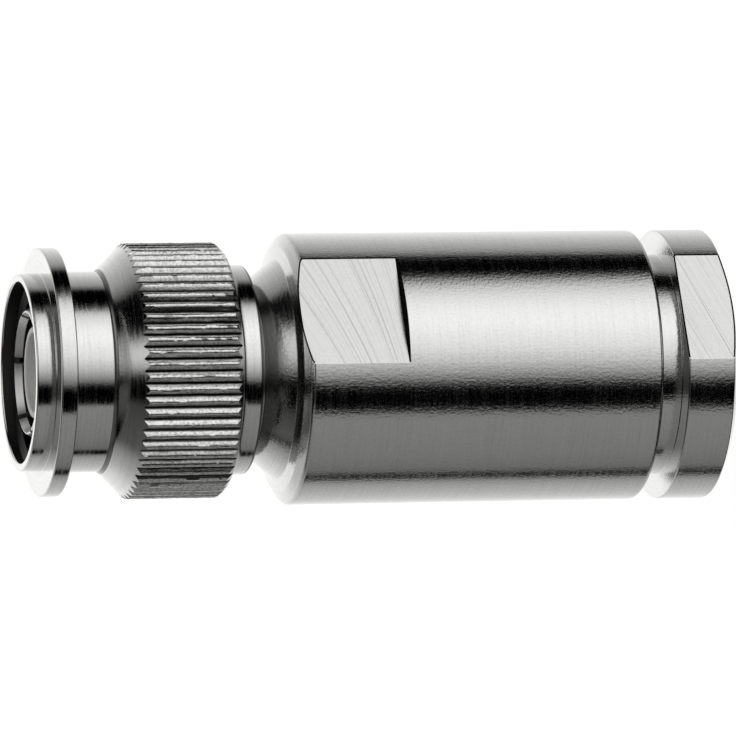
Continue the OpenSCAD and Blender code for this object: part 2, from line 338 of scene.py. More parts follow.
def knurl_radius(turn):
    """Radius of the knurled surface at an angle, with straight grooves between flat lands."""
    pitch = FULL_TURN / KNURL_COUNT
    from_groove = 0.5 - abs((turn / pitch) % 1 - 0.5)
    half_w = 0.5 - KNURL_LAND / (2 * pitch * KNURL_R)
    depth = max(0.0, 1 - from_groove / half_w)
    return KNURL_R - KNURL_H * depth


def cut_knurl(bm):
    """Presses the grooves into the plain turned band, ending in a zigzag on the cone and on the chamfer."""
    front_slope = CONE_L / (KNURL_R - SLEEVE_R)
    rear_slope = KNURL_CHAMFER_L / KNURL_CHAMFER_H
    z_rear = Z_KNURL + KNURL_CHAMFER_L
    for vert in bm.verts:
        x, y, z = vert.co
        radius = math.hypot(x, y)
        if radius < KNURL_R - SUPPORT or not z_rear - SUPPORT < z < Z_CONE + SUPPORT:
            continue
        turn = math.atan2(y, x)
        drift = noise.noise(Vector((DRIFT_ACROSS * x, DRIFT_ACROSS * y, DRIFT_ALONG * z))) * KNURL_DRIFT
        burr = noise.noise(Vector((BURR_SCALE * x, BURR_SCALE * y, BURR_SCALE * z))) * KNURL_BURR
        drop = KNURL_R - knurl_radius(turn + drift)
        if z > Z_CONE - TINY:
            z += drop * front_slope
        elif z < z_rear + TINY:
            z -= drop * rear_slope
        else:
            drop -= burr * (1 - drop / KNURL_H)
        wanted = radius - drop
        vert.co = (x * wanted / radius, y * wanted / radius, z)


def cut_slot(bm, turn, z_floor):
    """Saws one slot of parallel walls from the tip down to a floor, on one side of the axis."""
    along = Vector((math.cos(turn), math.sin(turn), 0))
    across = Vector((-math.sin(turn), math.cos(turn), 0))
    half_w = SLOT_W / 2

    def above(face):
        middle = face.calc_center_median()
        return middle.z > z_floor and middle.dot(along) > 0

    for offset in (-half_w, half_w):
        span = [f for f in bm.faces if above(f)]
        edges = {e for f in span for e in f.edges}
        verts = {v for f in span for v in f.verts}
        bmesh.ops.bisect_plane(
            bm, geom=span + list(edges) + list(verts), dist=WELD,
            plane_co=across * offset, plane_no=across,
        )
    sawn = [f for f in bm.faces if above(f) and abs(f.calc_center_median().dot(across)) < half_w]
    bmesh.ops.delete(bm, geom=sawn, context="FACES")

    def on_floor(vert):
        return abs(vert.co.z - z_floor) < TINY

    floor_rim = boundary_on(bm, on_floor)
    for offset in (-half_w, half_w):
        wall = boundary_on(bm, lambda v: abs(v.co.dot(across) - offset) < TINY)
        wall = [e for e in wall if not all(on_floor(v) for v in e.verts)]
        ends = [v for v in {v for e in wall for v in e.verts} if on_floor(v)]
        chord = bm.edges.new(ends)
        floor_rim.append(chord)
        bmesh.ops.contextual_create(bm, geom=wall + [chord])
    bmesh.ops.contextual_create(bm, geom=floor_rim)


def thread_ridge(root_r, rise, pitch, z_from, turns):
    """A right-hand helical ridge of a sixty degree thread, which sinks into the wall at both ends."""
    crest_r = root_r + rise
    sink = -math.copysign(RIDGE_SINK, rise)
    foot_w = RIDGE_FOOT * pitch
    crest_w = RIDGE_CREST * pitch
    bm = bmesh.new()
    profile = (
        (root_r + sink, -foot_w / 2),
        (root_r, -foot_w / 2),
        (crest_r, -crest_w / 2),
        (crest_r, crest_w / 2),
        (root_r, foot_w / 2),
        (root_r + sink, foot_w / 2),
    )
    start = [bm.verts.new((radius, 0, z_from + height)) for radius, height in profile]
    face = bm.faces.new(start)
    steps = int(RIDGE_STEPS * turns)
    bmesh.ops.spin(
        bm, geom=[face], cent=(0, 0, 0), axis=(0, 0, 1), dvec=(0, 0, pitch * turns / steps),
        angle=FULL_TURN * turns, steps=steps, use_merge=False,
    )
    for vert in bm.verts:
        x, y, z = vert.co
        radius = math.hypot(x, y)
        part_turn = math.atan2(y, x) / FULL_TURN % 1
        through = part_turn + round((z - z_from) / pitch - part_turn)
        ramp = min(1.0, max(0.0, min(through, turns - through) / RIDGE_FADE))
        wanted = root_r + sink + (radius - root_r - sink) * ramp
        vert.co = (x * wanted / radius, y * wanted / radius, z)
    bmesh.ops.recalc_face_normals(bm, faces=bm.faces[:])
    return bm


def mesh_object(bm, name, materials):
    """Puts a bmesh into the scene as an object with its materials."""
    mesh = bpy.data.meshes.new(name)
    bm.to_mesh(mesh)
    bm.free()
    for material in materials:
        mesh.materials.append(material)
    item = bpy.data.objects.new(name, mesh)
    bpy.context.scene.collection.objects.link(item)
    return item


def finished(bm, name, materials, body, replaced=()):
    """Makes a bmesh in millimetres a smooth piece in metres that rides on a body."""
    bmesh.ops.scale(bm, vec=(MM, MM, MM), verts=bm.verts[:])
    for face in bm.faces:
        face.smooth = True
    for edge in bm.edges:
        one_finish = len({face.material_index for face in edge.link_faces}) == 1
        edge.smooth = one_finish and edge.calc_face_angle(0) < CREASE
    piece = mesh_object(bm, name, materials)
    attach(piece, body)
    if replaced:
        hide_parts(*replaced)


def set_stops(ramp, stops):
    """Gives a colour ramp its stops, each a position and a grey level or a colour."""
    elements = ramp.elements
    elements[0].position = stops[0][0]
    elements[1].position = stops[-1][0]
    for position, level in stops[1:-1]:
        elements.new(position)
    for element, (position, level) in zip(elements, stops):
        element.color = (*level, 1) if isinstance(level, tuple) else (level, level, level, 1)


# Most of a noise lies between these two values
NOISE_LOW = 0.3
NOISE_HIGH = 0.7


class Wiring:
    """A small helper that adds nodes to a node tree and wires them up."""

    def __init__(self, tree):
        self.tree = tree

    def add(self, kind, links=None, values=None, **settings):
        """Adds a node with its settings, sets some inputs to values and links others."""
        node = self.tree.nodes.new(kind)
        for key, value in settings.items():
            setattr(node, key, value)
        for key, value in (values or {}).items():
            node.inputs[key].default_value = value
        for key, source in (links or {}).items():
            self.tree.links.new(source, node.inputs[key])
        return node

    def ramp(self, source, stops):
        """Looks up a grey level or a colour along a socket."""
        node = self.add("ShaderNodeValToRGB", {"Fac": source})
        set_stops(node.color_ramp, stops)
        return node.outputs["Color"]

    def mix(self, factor, first, second):
        """Goes from one colour to another by a socket."""
        links = {"Factor": factor, "A": first, "B": second}
        return self.add("ShaderNodeMix", links, data_type="RGBA").outputs["Result"]

    def times(self, first, second):
        """Two colours multiplied."""
        links = {"A": first, "B": second}
        node = self.add("ShaderNodeMix", links, {"Factor": 1}, data_type="RGBA", blend_type="MULTIPLY")
        return node.outputs["Result"]


class Recipe(Wiring):
    """The nodes of one finish, around its main shader."""

    def __init__(self, name):
        self.material = bpy.data.materials.new(name)
        self.material.use_nodes = True
        super().__init__(self.material.node_tree)
        self.shader = self.tree.nodes["Principled BSDF"]
        self.place = self.add("ShaderNodeTexCoord").outputs["Object"]

    def math(self, operation, first, second):
        """One step of arithmetic on two sockets or numbers."""
        node = self.tree.nodes.new("ShaderNodeMath")
        node.operation = operation
        for socket, value in zip(node.inputs, (first, second)):
            if isinstance(value, (int, float)):
                socket.default_value = value
            else:
                self.tree.links.new(value, socket)
        return node.outputs[0]

    def noise(self, vector, scale, detail=3.0, roughness=0.55):
        """A cloudy noise along a vector."""
        values = {"Scale": scale, "Detail": detail, "Roughness": roughness}
        return self.add("ShaderNodeTexNoise", {"Vector": vector}, values).outputs["Fac"]

    def spread(self, source, low, high):
        """A noise that is stretched to run from one value to another."""
        links = {"Value": source}
        values = {"From Min": NOISE_LOW, "From Max": NOISE_HIGH, "To Min": low, "To Max": high}
        return self.add("ShaderNodeMapRange", links, values).outputs["Result"]

    def stretched(self, scale, turn):
        """The place on the piece, scaled and turned."""
        links = {"Vector": self.place}
        return self.add("ShaderNodeMapping", links, {"Scale": scale, "Rotation": turn}).outputs["Vector"]

    def radius(self):
        """The distance from the plug's axis."""
        parts = self.add("ShaderNodeSeparateXYZ", {"Vector": self.place}).outputs
        flat = self.add("ShaderNodeCombineXYZ", {"X": parts["X"], "Y": parts["Y"]}).outputs["Vector"]
        return self.add("ShaderNodeVectorMath", {0: flat}, operation="LENGTH").outputs["Value"]

    def rings(self, per_metre, along):
        """A vector that runs fast across the tool's rings and slowly around them."""
        parts = self.add("ShaderNodeSeparateXYZ", {"Vector": self.place}).outputs
        links = {
            "X": self.math("MULTIPLY", self.radius(), per_metre),
            "Y": self.math("MULTIPLY", parts["Z"], per_metre),
            "Z": self.math("MULTIPLY", parts["X"], along),
        }
        return self.add("ShaderNodeCombineXYZ", links).outputs["Vector"]

    def bump(self, height, depth, below=None):
        """A normal that follows a height, on top of another normal where one is given."""
        links = {"Height": height}
        if below:
            links["Normal"] = below
        return self.add("ShaderNodeBump", links, {"Strength": 1.0, "Distance": depth}).outputs["Normal"]

    def finish(self, colour, roughness, normal):
        """Links the main shader and gives the material."""
        self.tree.links.new(colour, self.shader.inputs["Base Color"])
        self.tree.links.new(roughness, self.shader.inputs["Roughness"])
        self.tree.links.new(normal, self.shader.inputs["Normal"])
        return self.material


# Scales of the finishes' noise, per metre
RING_SCALE = 7000
GRAIN_SCALE = 6000
FLAT_GRAIN_SCALE = 7000
RUBBER_GRAIN_SCALE = 5000
RUBBER_CLOUD_SCALE = 700
WAX_CLOUD_SCALE = 900
MARKS_ACROSS = 2600
MARKS_ALONG = 60

# Two sets of handling scratches, each with its scale along three axes and its turn in radians
SCRATCHES = (
    ((7000, 7000, 1300), (0.6, 0.5, 0)),
    ((6500, 6500, 1100), (-0.7, 0.4, 0)),
)


def shaded(colour, share):
    """A colour made darker or lighter, white at most."""
    return tuple(min(1.0, share * part) for part in colour)


def turned_nickel(name, colour, rough, speckle, streak=0.06, ragged=0.06):
    """Plated metal off the lathe: fine rings, plating grain and short handling scratches."""
    recipe = Recipe(name)
    recipe.shader.inputs["Metallic"].default_value = 1
    rings = recipe.noise(recipe.rings(RING_SCALE, along=260), 1.0, detail=4, roughness=0.6)
    grain = recipe.noise(recipe.place, GRAIN_SCALE, detail=2)
    strokes = [recipe.noise(recipe.stretched(scale, turn), 1.0, detail=1) for scale, turn in SCRATCHES]
    worn = recipe.math("MAXIMUM", *strokes)
    dark = shaded(colour, 1 - streak)
    light = shaded(colour, 1 + streak / 2)
    tone = recipe.times(
        recipe.ramp(rings, ((0.3, dark), (0.6, light))),
        recipe.ramp(grain, ((0.3, 0.93), (0.55, 1.0))),
    )
    roughness = recipe.math(
        "ADD", recipe.spread(rings, rough - ragged / 4, rough + ragged), recipe.spread(grain, -0.02, 0.02),
    )
    normal = recipe.bump(grain, speckle)
    normal = recipe.bump(worn, speckle / 2, normal)
    return recipe.finish(tone, roughness, normal)


def knurled_nickel(name, colour, rough, speckle):
    """A pressed knurl: bright lands with a coarse grain, and painted shade that darkens the grooves towards their
    bottoms.
    """
    recipe = Recipe(name)
    recipe.shader.inputs["Metallic"].default_value = 1
    links = {"Value": recipe.radius()}
    values = {"From Min": (KNURL_R - KNURL_H) * MM, "From Max": KNURL_R * MM}
    rise = recipe.add("ShaderNodeMapRange", links, values).outputs["Result"]
    grain = recipe.noise(recipe.place, GRAIN_SCALE, detail=3)
    # Painted shade: the colour falls to near black towards the groove bottoms
    groove_shade = shaded(colour, 0.06)
    tone = recipe.times(
        recipe.ramp(rise, ((0.18, groove_shade), (0.4, colour))),
        recipe.ramp(grain, ((0.3, 0.6), (0.55, 1.0))),
    )
    roughness = recipe.spread(grain, rough + 0.06, rough - 0.03)
    return recipe.finish(tone, roughness, recipe.bump(grain, speckle))


def milled_nickel(name, colour, rough, sweep_r, sweep_from):
    """A milled flat: arcs left by a wide cutter that was fed across the flat."""
    recipe = Recipe(name)
    recipe.shader.inputs["Metallic"].default_value = 1
    parts = recipe.add("ShaderNodeSeparateXYZ", {"Vector": recipe.place}).outputs
    inward = recipe.math("SUBTRACT", parts["Z"], sweep_from)
    inward = recipe.math("MAXIMUM", inward, 0.0)
    square = recipe.math("MULTIPLY", inward, recipe.math("SUBTRACT", 2 * sweep_r, inward))
    shift = recipe.math("POWER", square, 0.5)
    across = recipe.math("SUBTRACT", parts["X"], shift)
    lines = recipe.add("ShaderNodeCombineXYZ", {
        "X": recipe.math("MULTIPLY", across, MARKS_ACROSS),
        "Y": recipe.math("MULTIPLY", parts["Z"], MARKS_ALONG),
    }).outputs["Vector"]
    marks = recipe.noise(lines, 1.0, detail=5, roughness=0.7)
    grain = recipe.noise(recipe.place, FLAT_GRAIN_SCALE, detail=2)
    dark = shaded(colour, 0.72)
    tone = recipe.times(
        recipe.ramp(marks, ((0.34, dark), (0.46, colour))),
        recipe.ramp(grain, ((0.3, 0.95), (0.6, 1.0))),
    )
    roughness = recipe.spread(marks, rough + 0.06, rough - 0.02)
    return recipe.finish(tone, roughness, recipe.bump(marks, 1.5 * MICRON))


def painted_shade_metal(name):
    """Near-black painted shade, rough and without gloss, for the step behind a flat and the line around it."""
    recipe = Recipe(name)
    recipe.shader.inputs["Specular IOR Level"].default_value = 0
    grain = recipe.noise(recipe.place, GRAIN_SCALE, detail=3)
    tone = recipe.ramp(grain, ((0.3, 0.006), (0.7, 0.02)))
    return recipe.finish(tone, recipe.spread(grain, 0.45, 0.6), recipe.bump(grain, 4 * MICRON))


def white_dielectric(name, colour):
    """Turned white plastic with a waxy surface and faint tool rings."""
    recipe = Recipe(name)
    rings = recipe.noise(recipe.rings(RING_SCALE, along=200), 1.0, detail=3)
    cloud = recipe.noise(recipe.place, WAX_CLOUD_SCALE, detail=3)
    dark = shaded(colour, 0.93)
    tone = recipe.times(
        recipe.ramp(rings, ((0.3, dark), (0.6, colour))),
        recipe.ramp(cloud, ((0.3, 0.96), (0.7, 1.0))),
    )
    return recipe.finish(tone, recipe.spread(cloud, 0.38, 0.5), recipe.bump(rings, 2 * MICRON))


def seal_rubber(name, colour):
    """Moulded black rubber with a dusty grain."""
    recipe = Recipe(name)
    grain = recipe.noise(recipe.place, RUBBER_GRAIN_SCALE, detail=4)
    cloud = recipe.noise(recipe.place, RUBBER_CLOUD_SCALE, detail=3)
    light = shaded(colour, 2.2)
    tone = recipe.ramp(cloud, ((0.35, colour), (0.7, light)))
    return recipe.finish(tone, recipe.spread(grain, 0.55, 0.75), recipe.bump(grain, 6 * MICRON))


# Colours of the finishes
NICKEL = (0.78, 0.78, 0.765)
CONTACT = (0.84, 0.84, 0.82)
# Near-black nickel as painted shade inside the socket: the nut's inner wall, its thread and the contact's deep
# bore
SOCKET_SHADE = (0.06, 0.06, 0.059)
# Darker nickel as painted shade in the hub's rear corner and in the hollow between cone and sleeve
CORNER_SHADE = (0.25, 0.25, 0.245)
SPRING = (0.62, 0.62, 0.62)
DIELECTRIC = (0.93, 0.925, 0.9)
RUBBER = (0.035, 0.035, 0.035)

# Sweep of the milling cutters, and the height where it starts, in metres
CUTTER_R = 0.058
CUTTER_FROM = (Z_FACE - FLAT_L) * MM
NUT_CUTTER_R = 0.3
NUT_CUTTER_FROM = -0.02

nickel = turned_nickel("turned_nickel", NICKEL, rough=0.12, speckle=8 * MICRON)
nut_nickel = turned_nickel(
    "coupling_nickel", NICKEL, rough=0.08, speckle=1.5 * MICRON, streak=0.1, ragged=0.12,
)
knurl_nickel = knurled_nickel("knurled_nickel", NICKEL, rough=0.2, speckle=11 * MICRON)
corner_shade_nickel = turned_nickel("corner_shade_nickel", CORNER_SHADE, rough=0.2, speckle=3 * MICRON, streak=0.1)
socket_shade_nickel = turned_nickel("socket_shade_nickel", SOCKET_SHADE, rough=0.34, speckle=3 * MICRON, streak=0.1)
flat_nickel = milled_nickel("milled_flat", NICKEL, 0.2, CUTTER_R, CUTTER_FROM)
nut_flat = milled_nickel("milled_nut_flat", NICKEL, 0.2, NUT_CUTTER_R, NUT_CUTTER_FROM)
# Painted shade for the step behind each flat and for the line around it
step_shade = painted_shade_metal("painted_step_shade")
bright_contact = turned_nickel("contact_plate", CONTACT, rough=0.3, speckle=3 * MICRON)
spring_steel = turned_nickel("spring_steel", SPRING, rough=0.28, speckle=4 * MICRON)
dielectric = white_dielectric("white_dielectric", DIELECTRIC)
rubber = seal_rubber("seal_rubber", RUBBER)


def make_barrel():
    """Body with two wrench flats and the neck that carries the coupling nut."""
    face_r = BODY_R - FRONT_CHAMFER_H
    groove_r = NECK_R - NECK_GROOVE_H
    bm = turned((
        (CLAMP_THREAD_R, Z_BODY, SOFT),
        (BODY_R, Z_BODY, REAR_ROUND),
        (BODY_R, Z_FACE - FRONT_CHAMFER_L, FRONT_ROUND),
        (face_r, Z_FACE - FACE_FALL, FINE),
        (face_r - FACE_RIM, Z_FACE, FINE),
        (NECK_R + THRUST_STEP, Z_HUB - THRUST_STEP, FINE),
        (NECK_R, Z_HUB - THRUST_STEP, 0),
        (NECK_R, Z_RING, 0),
        (groove_r, Z_RING, 0),
        (groove_r, Z_RING_END, 0),
        (NECK_R, Z_RING_END, 0),
        (NECK_R, Z_NECK, SOFT),
        (SHANK_R, Z_NECK, 0),
        (SHANK_R, Z_SHANK, 0),
        (PASSAGE_R, Z_SHANK, 0),
        (PASSAGE_R, Z_RECESS, 0),
        (RECESS_R, Z_RECESS, 0),
        (RECESS_R, Z_SHOULDER, FINE),
        (CHAMBER_R, Z_SHOULDER, FINE),
        (CHAMBER_R, Z_THREAD_END, FINE),
        (CLAMP_THREAD_R, Z_THREAD_END, FINE),
    ))
    for side in (-1, 1):
        # Each flat's step and the line around it take painted shade
        mill_flat(bm, side, Z_FACE - FLAT_L, Z_FACE + PAST_END, flat_slot=1, shade_slot=2)
    finished(bm, "barrel", (nickel, flat_nickel, step_shade), "plug", ["body"])


def make_coupling_nut():
    """Knurled sleeve with a cone, a neck, a flange and a rim around its threaded mouth."""
    z_rear = Z_KNURL + KNURL_CHAMFER_L
    ring_step = (Z_CONE - z_rear) / KNURL_RINGS
    knurl_line = [(KNURL_R, z_rear + i * ring_step, 0) for i in range(KNURL_RINGS + 1)]
    bm = turned((
        (RIDE_R, Z_HUB, FINE),
        (HUB_R, Z_HUB, HUB_ROUND),
        (HUB_R, Z_KNURL, HUB_HOLLOW),
        (KNURL_R - KNURL_CHAMFER_H, Z_KNURL, 0),
        *knurl_line,
        (SLEEVE_R, Z_SLEEVE, CONE_HOLLOW),
        (SLEEVE_R, Z_LIP, FINE),
        (LIP_R, Z_LIP, SOFT),
        (LIP_R, Z_RIM, SOFT),
        (RIM_R, Z_RIM, FINE),
        (RIM_R, Z_TOP, SOFT),
        (THREAD_R, Z_TOP, SOFT),
        (THREAD_R, Z_SEAL, 0),
        (UNDERCUT_R, Z_SEAL - UNDERCUT_SLOPE, 0),
        (UNDERCUT_R, Z_NECK - NECK_LAP, 0),
        (RIDE_R, Z_NECK - NECK_LAP, 0),
        (RIDE_R, Z_RING_END, 0),
        (RING_GROOVE_R, Z_RING_END, 0),
        (RING_GROOVE_R, Z_RING - RING_GAP, 0),
        (RIDE_R, Z_RING - RING_GAP, 0),
    ), KNURL_COUNT * STEPS_PER_RIDGE)
    cut_knurl(bm)
    finishes = (nut_nickel, knurl_nickel, socket_shade_nickel, corner_shade_nickel)
    for face in bm.faces:
        middle = face.calc_center_median()
        radius = math.hypot(middle.x, middle.y)
        finish = nut_nickel
        if radius > KNURL_R - KNURL_H - TINY and z_rear - SOFT < middle.z < Z_CONE + SOFT:
            finish = knurl_nickel
        # Painted shade: the hub's rear edge takes the darker corner nickel
        elif middle.z < Z_HUB + HUB_ROUND:
            finish = corner_shade_nickel
        # Painted shade: the socket's inner wall takes the near-black nickel
        elif radius < UNDERCUT_R + TINY and middle.z < Z_TOP - SOFT:
            finish = socket_shade_nickel
        # Painted shade in the hollow between the cone and the sleeve
        elif abs(middle.z - Z_SLEEVE) < CONE_HOLLOW and SLEEVE_R < radius < SLEEVE_R + CONE_HOLLOW:
            finish = corner_shade_nickel
        face.material_index = finishes.index(finish)
    finished(bm, "coupling_sleeve", finishes, "coupling", ["coupling_nut"])


def make_clamp_nut():
    """Rear nut with a flange that has two flats, a smooth neck and a bored shank."""
    bm = turned((
        (CABLE_R + CABLE_MOUTH, 0, FINE),
        (BODY_R - REAR_CHAMFER_H, 0, FINE),
        (BODY_R, REAR_CHAMFER_L, FINE),
        (BODY_R, FLANGE_L, SOFT),
        (NUT_NECK_R, FLANGE_L, FINE),
        (NUT_NECK_R, Z_NUT_THREAD, 0),
        (NUT_ROOT_R, Z_NUT_THREAD, 0),
        (NUT_ROOT_R, Z_NUT - NUT_NOSE_L, 0),
        (NUT_NOSE_R, Z_NUT - NUT_NOSE_L, 0),
        (NUT_NOSE_R, Z_NUT, SOFT),
        (CABLE_R, Z_NUT, SOFT),
        (CABLE_R, CABLE_MOUTH, FINE),
    ))
    for side in (-1, 1):
        # Each flat's step and the line around it take painted shade
        mill_flat(bm, side, -PAST_END, FLANGE_L + PAST_END, flat_slot=1, shade_slot=2)
    finished(bm, "rear_nut", (nickel, nut_flat, step_shade), "rear_nut", ["clamp_nut"])


def make_contact():
    """Sprung sleeve with six fingers, crowned near their tips."""
    z_crown = Z_TIP - TIP_L - CROWN_L
    bm = turned((
        (CONTACT_BORE_R, Z_SHANK, 0),
        (SHANK_R, Z_SHANK, 0),
        (SHANK_R, Z_NECK, 0),
        (SEAT_R, Z_NECK, 0),
        (SEAT_R, Z_SEAL, FINE),
        (FINGER_R, Z_SEAL, 0),
        (FINGER_R, z_crown - TIP_L, FINE),
        (CROWN_R, z_crown, SOFT),
        (CROWN_R, Z_TIP - TIP_L, SOFT),
        (CROWN_R - TIP_H, Z_TIP, FINE),
        (CONTACT_BORE_R + MOUTH_H, Z_TIP, 0),
        (CONTACT_BORE_R, Z_TIP - TIP_L, 0),
    ))
    everything = bm.verts[:] + bm.edges[:] + bm.faces[:]
    z_floor = Z_TIP - SLOT_L
    bmesh.ops.bisect_plane(bm, geom=everything, dist=WELD, plane_co=(0, 0, z_floor), plane_no=(0, 0, 1))
    for i in range(SLOT_COUNT):
        cut_slot(bm, SLOT_TURN + i * FULL_TURN / SLOT_COUNT, z_floor)
    bmesh.ops.recalc_face_normals(bm, faces=bm.faces[:])
    finishes = (bright_contact, socket_shade_nickel)
    # Painted shade: the bore below the finger tips takes the near-black socket nickel
    for face in bm.faces:
        middle = face.calc_center_median()
        if math.hypot(middle.x, middle.y) < CONTACT_BORE_R + TINY and middle.z < Z_TIP - TIP_L:
            face.material_index = finishes.index(socket_shade_nickel)
    finished(bm, "contact_fingers", finishes, "plug", ["outer_contact"])


def make_nose():
    """White dielectric that fills the contact and ends in a thin nose around the pin."""
    bm = turned((
        (CORE_R, Z_SHANK, 0),
        (CONTACT_BORE_R - SLIP, Z_SHANK, 0),
        (CONTACT_BORE_R - SLIP, Z_SEAL, FINE),
        (NOSE_R, Z_SEAL, FINE),
        (NOSE_R, Z_NOSE, SOFT),
        (NOSE_BORE_R, Z_NOSE, SOFT),
        (NOSE_BORE_R, Z_NOSE - NOSE_DEPTH, SOFT),
        (CORE_R, Z_NOSE - NOSE_DEPTH, 0),
    ), SMALL_STEPS)
    finished(bm, "nose_insulator", (dielectric,), "plug", ["front_insulator"])


def make_pin():
    """Centre contact: pin with a tapered tip, core, collar and solder cup."""
    z_collar = Z_SHANK - COLLAR_L
    z_floor = Z_NOSE - NOSE_DEPTH
    bm = turned((
        (0, Z_CUP + CUP_DEPTH, 0),
        (CUP_BORE_R, Z_CUP + CUP_DEPTH, 0),
        (CUP_BORE_R, Z_CUP, FINE),
        (CUP_R, Z_CUP, FINE),
        (CUP_R, z_collar, 0),
        (COLLAR_R, z_collar, 0),
        (COLLAR_R, Z_SHANK, 0),
        (CORE_R - SLIP, Z_SHANK, 0),
        (CORE_R - SLIP, z_floor, 0),
        (PIN_R, z_floor, 0),
        (PIN_R, Z_PIN - PIN_TIP_L, SOFT),
        (PIN_R / 2, Z_PIN, SOFT),
        (0, Z_PIN, 0),
    ), PIN_STEPS)
    finished(bm, "centre_pin", (bright_contact,), "plug", ["centre_contact"])


def make_seal():
    """Rubber ring at the bottom of the socket."""
    bm = turned((
        (SEAL_BORE_R, Z_NECK, FINE),
        (NECK_R - SOFT, Z_NECK, FINE),
        (NECK_R - SOFT, Z_SEAL, SEAL_ROUND),
        (SEAL_BORE_R, Z_SEAL, SEAL_ROUND),
    ), SMALL_STEPS)
    finished(bm, "seal_ring", (rubber,), "plug", ["interface_gasket"])


def make_threads():
    """The helical ridges of the coupling nut, the clamp nut and the body."""
    z_from = Z_SEAL + COUPLING_LEAD
    ridge = thread_ridge(THREAD_R, -COUPLING_RIDGE_H, COUPLING_PITCH, z_from, COUPLING_TURNS)
    # The inner thread carries the socket's painted shade
    finished(ridge, "coupling_thread", (socket_shade_nickel,), "coupling")
    z_from = Z_NUT_THREAD + NUT_LEAD
    ridge = thread_ridge(NUT_ROOT_R, CLAMP_RIDGE_H, CLAMP_PITCH, z_from, NUT_TURNS)
    finished(ridge, "rear_nut_thread", (nickel,), "rear_nut")
    z_from = Z_NUT_THREAD + BARREL_LEAD
    ridge = thread_ridge(CLAMP_THREAD_R, -CLAMP_RIDGE_H, CLAMP_PITCH, z_from, BARREL_TURNS)
    finished(ridge, "barrel_thread", (nickel,), "plug")


make_barrel()
make_coupling_nut()
make_clamp_nut()
make_contact()
make_nose()
make_pin()
make_seal()
make_threads()

# Solids that stay as they are and get their finish
for node_name, finish in (
    ("retaining_ring", spring_steel),
    ("rear_insulator", dielectric),
    ("braid_clamp", nickel),
    ("cable_gasket", rubber),
    ("slip_washer", nickel),
):
    node = frame["nodes"][node_name]
    node.data.materials.clear()
    node.data.materials.append(finish)

# View of the photograph: the plug's axis runs across the picture, with the mating end at the left
VIEW_AZIMUTH = math.radians(-28)
VIEW_ELEVATION = math.radians(13.4)
VIEW_ROLL = math.radians(0.77)
VIEW_DISTANCE = 0.52
VIEW_TARGET = Vector((0, 0, 0.021615))
VIEW_NEAR = 0.01
VIEW_FAR = 20
PIXELS_PER_METRE = 16200
PICTURE_SIZE = 736
SENSOR = 36


def make_camera():
    """The camera where the photograph was taken from, with the plug lying across the picture."""
    back = Vector((
        math.sin(VIEW_AZIMUTH) * math.cos(VIEW_ELEVATION),
        -math.cos(VIEW_AZIMUTH) * math.cos(VIEW_ELEVATION),
        math.sin(VIEW_ELEVATION),
    ))
    along = -(Vector((0, 0, 1)) - back.z * back).normalized()
    upright = back.cross(along)
    right = math.cos(VIEW_ROLL) * along - math.sin(VIEW_ROLL) * upright
    up = math.cos(VIEW_ROLL) * upright + math.sin(VIEW_ROLL) * along
    data = bpy.data.cameras.new("camera")
    data.sensor_width = SENSOR
    data.lens = PIXELS_PER_METRE * VIEW_DISTANCE / PICTURE_SIZE * SENSOR
    data.clip_start = VIEW_NEAR
    data.clip_end = VIEW_FAR
    camera = bpy.data.objects.new("camera", data)
    turn = Matrix((right, up, back)).transposed().to_4x4()
    camera.matrix_world = Matrix.Translation(VIEW_TARGET + back * VIEW_DISTANCE) @ turn
    bpy.context.scene.collection.objects.link(camera)
    bpy.context.scene.camera = camera


# Studio around the plug: how bright the walls are at each angle from the camera, in degrees
STUDIO_WALL = (
    (-180, 1.1), (-150, 0.68), (-119, 0.4), (-112.5, 0.28), (-109, 0.0), (-104, 0.0), (-100, 0.17),
    (-80, 0.22), (-40, 0.26), (-37.5, 0.0), (-16, 0.0), (-9, 0.26), (3, 0.62), (16, 0.94), (36, 1.15),
    (48, 1.14), (61, 0.98), (71, 0.78), (79, 0.45), (86, 0.0), (107, 0.0), (114, 0.3), (131, 0.5),
    (155, 0.72), (180, 1.1),
)
# The same walls above the key panel, where it leaves a dark gap
STUDIO_GAP = (
    (-180, 1.1), (-150, 0.8), (-119, 0.42), (-100, 0.2), (-41, 0.24), (-30, 0.03), (0, 0.08), (45, 0.1),
    (86, 0.0), (107, 0.0), (118, 0.36), (150, 0.8), (180, 1.1),
)
# The ceiling above both
STUDIO_CEILING = (
    (-180, 0.85), (-150, 0.75), (-125, 0.4), (-112, 0.13), (-80, 0.09), (-70, 0.08), (-62, 0.0),
    (-18, 0.0), (-8, 0.19), (3, 0.43), (16, 0.75), (36, 1.05), (52, 1.0), (62, 0.68), (70, 0.22),
    (77, 0.0), (112, 0.0), (120, 0.19), (131, 0.36), (155, 0.7), (180, 0.85),
)
# How much of the wall's light is left at each height, from straight down to straight up
STUDIO_HEIGHT = (
    (0.0, 0.42), (0.045, 0.42), (0.08, 0.0), (0.12, 0.0), (0.22, 0.8), (0.3, 1.0), (0.66, 1.0),
    (0.85, 0.7), (1.0, 0.7),
)
# Where the gap and the ceiling lie between those heights
STUDIO_GAP_HEIGHT = ((0.0, 0.0), (0.5, 0.0), (0.515, 1.0), (0.7, 1.0), (0.79, 0.0), (1.0, 0.0))
STUDIO_CEILING_HEIGHT = ((0.0, 0.0), (0.8, 0.0), (0.88, 1.0), (1.0, 1.0))
# The key panel's upper edge slopes down towards its far end, at this angle from the camera
PANEL_END = math.radians(126) + VIEW_AZIMUTH
PANEL_SLOPE = 0.175


